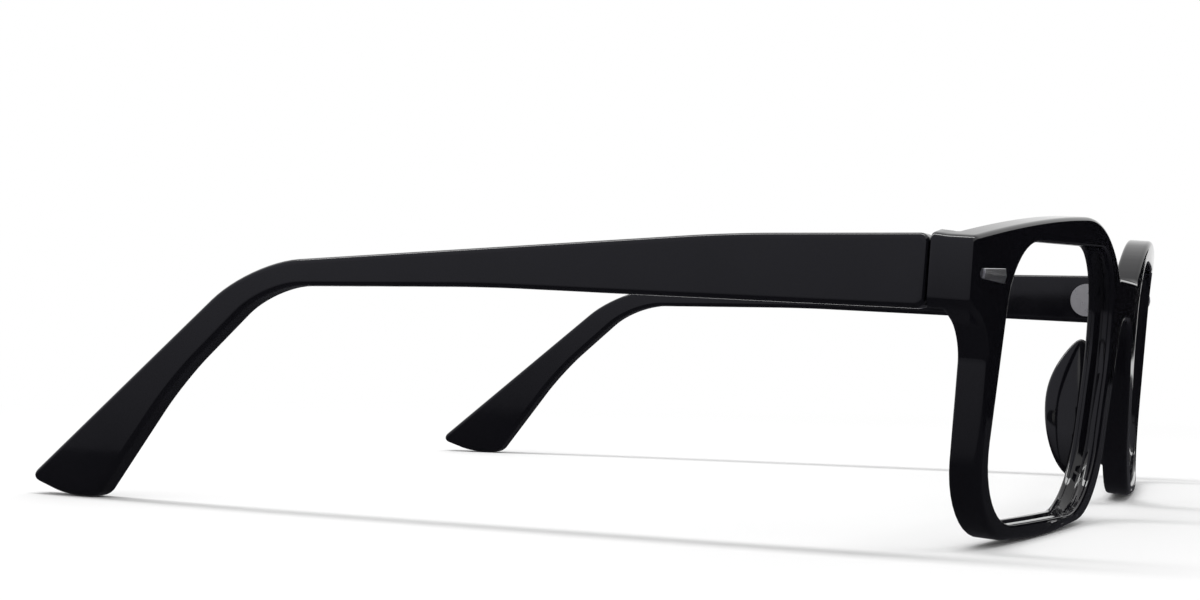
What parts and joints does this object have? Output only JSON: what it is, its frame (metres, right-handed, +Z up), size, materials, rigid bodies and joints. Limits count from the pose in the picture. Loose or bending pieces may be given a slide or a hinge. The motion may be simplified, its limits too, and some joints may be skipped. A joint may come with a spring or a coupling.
{
  "type": "eyeglasses frame",
  "caption": "Glossy black acetate eyeglasses frame with rectangular rims, lens grooves and folding temples; no lenses fitted.",
  "frame": {"origin": "on the surface that the rims and temple tips stand on, under the middle of the open frame", "axes": "+X towards the wearer's left, +Y back along the open temples, +Z up; the front faces -Y"},
  "size_m": [0.137, 0.1579, 0.043],
  "materials": {
    "acetate": "polished black cellulose acetate",
    "plaque_silver": "satin silver plate",
    "hinge_steel": "tumbled nickel silver",
    "screw_steel": "bright stainless steel",
    "wire_steel": "drawn nickel silver wire"
  },
  "bodies": {
    "front": {"frame_front": "acetate", "nose_pad_left": "acetate", "nose_pad_right": "acetate", "front_plaque_left": "plaque_silver", "front_plaque_right": "plaque_silver", "hinge_front_left": "hinge_steel", "hinge_front_right": "hinge_steel", "hinge_screw_left": "screw_steel", "hinge_screw_right": "screw_steel"},
    "temple_left": {"temple_left": "acetate", "hinge_temple_left": "hinge_steel", "core_wire_left": "wire_steel"},
    "temple_right": {"temple_right": "acetate", "hinge_temple_right": "hinge_steel", "core_wire_right": "wire_steel"}
  },
  "joints": [
    {"name": "temple_left_fold", "type": "hinge", "parent": "front", "child": "temple_left", "pos_m": [0.0634, -0.0663, 0.0339], "axis": [0, 0, 1], "range_deg": [0, 89]},
    {"name": "temple_right_fold", "type": "hinge", "parent": "front", "child": "temple_right", "pos_m": [-0.0634, -0.0663, 0.0339], "axis": [0, 0, -1], "range_deg": [0, 80]}
  ]
}
